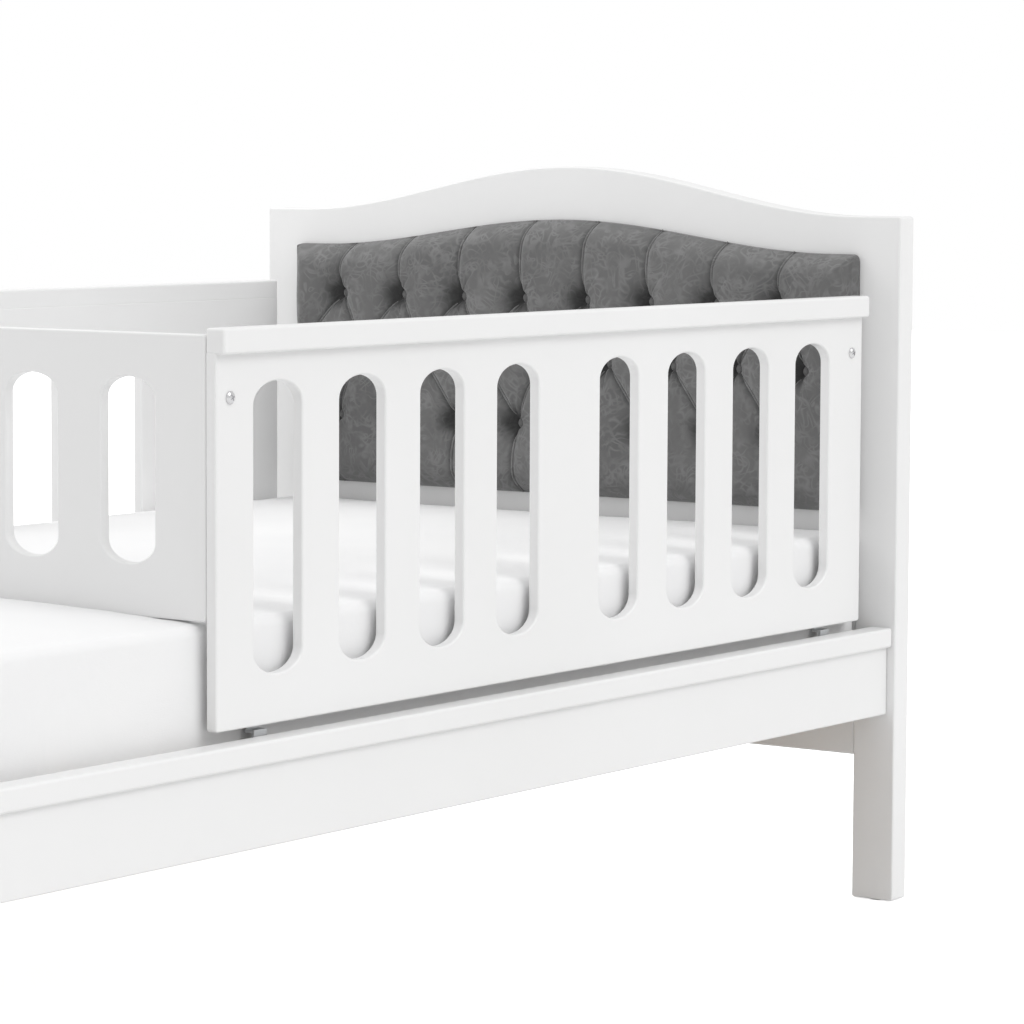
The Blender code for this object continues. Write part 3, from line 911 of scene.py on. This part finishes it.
def bolt_head(node):
    """Domed cross-recess head and its shank, in the place of the plain bolt."""
    low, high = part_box(node)
    side = 1 if high.x > 0 else -1
    centre_y = (low.y + high.y) / 2
    centre_z = (low.z + high.z) / 2
    outer = high.x if side > 0 else low.x
    inner = low.x if side > 0 else high.x
    radius = (high.z - low.z) / 2
    face = outer - side * BOLT_DOME
    profile = [(inner, BOLT_SHANK_RADIUS), (face, BOLT_SHANK_RADIUS), (face, radius)]
    for step in range(1, 7):
        turn = math.pi / 2 * step / 7
        profile.append((face + side * BOLT_DOME * math.sin(turn), radius * math.cos(turn)))
    mesh = bmesh.new()
    turns = [math.tau * k / ROUND_STEPS for k in range(ROUND_STEPS)]
    rings = []
    for x, ring in profile:
        spots = [(x, centre_y + ring * math.cos(a), centre_z + ring * math.sin(a)) for a in turns]
        rings.append([mesh.verts.new(spot) for spot in spots])
    join_rings(mesh, rings)
    mesh.faces.new(rings[0])
    mesh.faces.new(rings[-1])
    piece = finish_piece(mesh, f"{node}_finished", "chrome", [node])

    cutter_mesh = bmesh.new()
    for size_y, size_z in ((RECESS_LONG, RECESS_SHORT), (RECESS_SHORT, RECESS_LONG)):
        bmesh.ops.create_cube(
            cutter_mesh,
            size=1.0,
            matrix=Matrix.Translation((outer, centre_y, centre_z))
            @ Matrix.Rotation(math.radians(RECESS_TURN), 4, "X")
            @ Matrix.Diagonal((RECESS_DEPTH, size_y, size_z, 1.0)),
        )
    cutter_data = bpy.data.meshes.new(f"{node}_recess")
    cutter_mesh.to_mesh(cutter_data)
    cutter_mesh.free()
    cutter = bpy.data.objects.new(f"{node}_recess", cutter_data)
    bpy.context.scene.collection.objects.link(cutter)
    cut = piece.modifiers.new("recess", "BOOLEAN")
    cut.operation = "DIFFERENCE"
    cut.use_self = True
    cut.object = cutter
    graph = bpy.context.evaluated_depsgraph_get()
    carved = bpy.data.meshes.new_from_object(piece.evaluated_get(graph))
    piece.modifiers.clear()
    piece.data = carved
    carved.set_sharp_from_angle(angle=math.radians(35))
    bpy.data.objects.remove(cutter)


# ---- studio ----------------------------------------------------------------------------------
FLOOR_SIZE = 14.0
FLOOR_GLOW = 0.80
BACKDROP_STRENGTH = 1.0
FILL_STRENGTH = 0.74
SUNS = (
    ("key", (-0.90, -0.12, -0.75), 0.83, 34.0),
    ("top", (0.10, 0.15, -1.0), 0.45, 80.0),
)
LAMP_POWER = 7.4
LAMP_SIZE = 1.1
LAMP_PLACE = (-1.2, 0.05, 1.7)
LAMP_TARGET = (0.1, 0.9, 0.55)


def aimed_lamp(data, aim):
    """Put a light in the scene so that it shines along aim."""
    lamp = bpy.data.objects.new(data.name, data)
    lamp.rotation_mode = "QUATERNION"
    lamp.rotation_quaternion = Vector(aim).to_track_quat("-Z", "Y")
    bpy.context.scene.collection.objects.link(lamp)
    return lamp


def backdrop_and_fill():
    """White behind the bed as the camera sees it, and a weaker white light from all round."""
    world = bpy.data.worlds.new("studio")
    bpy.context.scene.world = world
    world.use_nodes = True
    tree = world.node_tree
    backdrop = tree.nodes["Background"]
    backdrop.inputs["Color"].default_value = (1.0, 1.0, 1.0, 1.0)
    backdrop.inputs["Strength"].default_value = BACKDROP_STRENGTH
    fill = tree.nodes.new("ShaderNodeBackground")
    fill.inputs["Color"].default_value = (1.0, 1.0, 1.0, 1.0)
    fill.inputs["Strength"].default_value = FILL_STRENGTH
    ray = tree.nodes.new("ShaderNodeLightPath")
    mix = tree.nodes.new("ShaderNodeMixShader")
    tree.links.new(ray.outputs["Is Camera Ray"], mix.inputs["Fac"])
    tree.links.new(fill.outputs[0], mix.inputs[1])
    tree.links.new(backdrop.outputs[0], mix.inputs[2])
    tree.links.new(mix.outputs[0], tree.nodes["World Output"].inputs["Surface"])


def lights():
    """Two broad suns, and a large soft lamp, high beyond the back guard, that is aimed at the headboard."""
    for name, aim, strength, angle in SUNS:
        data = bpy.data.lights.new(name, "SUN")
        data.energy = strength
        data.angle = math.radians(angle)
        aimed_lamp(data, aim)
    data = bpy.data.lights.new("over_bed", "AREA")
    data.energy = LAMP_POWER
    data.shape = "DISK"
    data.size = LAMP_SIZE
    lamp = aimed_lamp(data, Vector(LAMP_TARGET) - Vector(LAMP_PLACE))
    lamp.location = LAMP_PLACE


def studio_floor():
    """Plain pale floor that the camera sees nearly as white as the backdrop."""
    mesh = bmesh.new()
    bmesh.ops.create_grid(mesh, x_segments=2, y_segments=2, size=FLOOR_SIZE)
    data = bpy.data.meshes.new("studio_floor")
    mesh.to_mesh(data)
    mesh.free()
    shade = Shade("studio_floor", Specular_IOR_Level=0.1)
    shade.colour(shade.blend(shade.noise(2.0), *FLOOR_COLOURS))
    shade.roughness(0.9)
    glow = shade.node("ShaderNodeEmission")
    glow.inputs["Color"].default_value = (1.0, 1.0, 1.0, 1.0)
    seen = shade.node("ShaderNodeLightPath").outputs["Is Camera Ray"]
    shade.join(shade.math("MULTIPLY", seen, FLOOR_GLOW), glow.inputs["Strength"])
    both = shade.node("ShaderNodeAddShader")
    shade.join(shade.shader.outputs[0], both.inputs[0])
    shade.join(glow.outputs[0], both.inputs[1])
    shade.join(both.outputs[0], shade.tree.nodes["Material Output"].inputs["Surface"])
    data.materials.append(shade.material)
    floor = bpy.data.objects.new("studio_floor", data)
    bpy.context.scene.collection.objects.link(floor)


def studio():
    """Light and floor, shown without a filmic curve."""
    bpy.context.scene.view_settings.view_transform = "Standard"
    backdrop_and_fill()
    lights()
    studio_floor()


CAMERA_PLACE = (2.6993, -3.0203, 0.8241)
CAMERA_AZIMUTH = 35.27
CAMERA_TILT = 4.97
CAMERA_ROLL = 0.26
CAMERA_LENS = 145.1
CAMERA_SENSOR = 36.0


def camera():
    """Camera at the given place, turned by its azimuth, tilt and roll in degrees."""
    azimuth, tilt, roll = (math.radians(a) for a in (CAMERA_AZIMUTH, CAMERA_TILT, CAMERA_ROLL))
    back = Vector(
        (math.sin(azimuth) * math.cos(tilt), -math.cos(azimuth) * math.cos(tilt), math.sin(tilt))
    )
    right = Vector((math.cos(azimuth), math.sin(azimuth), 0.0))
    up = back.cross(right)
    right_rolled = right * math.cos(roll) + up * math.sin(roll)
    up_rolled = up * math.cos(roll) - right * math.sin(roll)
    data = bpy.data.cameras.new("camera")
    data.lens = CAMERA_LENS
    data.sensor_width = CAMERA_SENSOR
    data.clip_end = 100.0
    eye = bpy.data.objects.new("camera", data)
    turn = Matrix((right_rolled, up_rolled, back)).transposed().to_4x4()
    eye.matrix_world = Matrix.Translation(CAMERA_PLACE) @ turn
    bpy.context.scene.collection.objects.link(eye)
    bpy.context.scene.camera = eye


# ---- assembly --------------------------------------------------------------------------------
paint_cad_nodes()
end_board("headboard", HEAD_SHOULDER, HEAD_ARCH_RISE, HEAD_UNDERSIDE)
end_board("footboard", FOOT_SHOULDER, FOOT_ARCH_RISE, FOOT_UNDERSIDE)
guard_panel("front", FRONT_SLOT_WIDTH, FRONT_SLOT_OFFSETS, SLOT_TOP)
guard_panel("back", BACK_SLOT_WIDTH, BACK_SLOT_OFFSETS, BACK_SLOT_TOP)
divider_panel()
for bar_side in ("front", "back"):
    rounded_bar(f"guard_cap_{bar_side}", 0.0030)
    rounded_bar(f"side_rail_cap_{bar_side}", 0.0030)
    rounded_bar(f"side_rail_{bar_side}", 0.0020, 3, TONGUE)
    for bar_end in ("foot", "head"):
        bolt_head(f"guard_bolt_{bar_side}_{bar_end}")
pad_board, pad_bottom, pad_half = tufted_pad()
for fold_index, one_fold in enumerate(pad_folds(pad_bottom)):
    fold_edge(fold_index + 1, one_fold, pad_board, pad_bottom, pad_half)
for button_index, (button_across, button_up) in enumerate(button_places()):
    pad_button(button_index + 1, button_across, button_up, pad_board)
mattress()
studio()
camera()
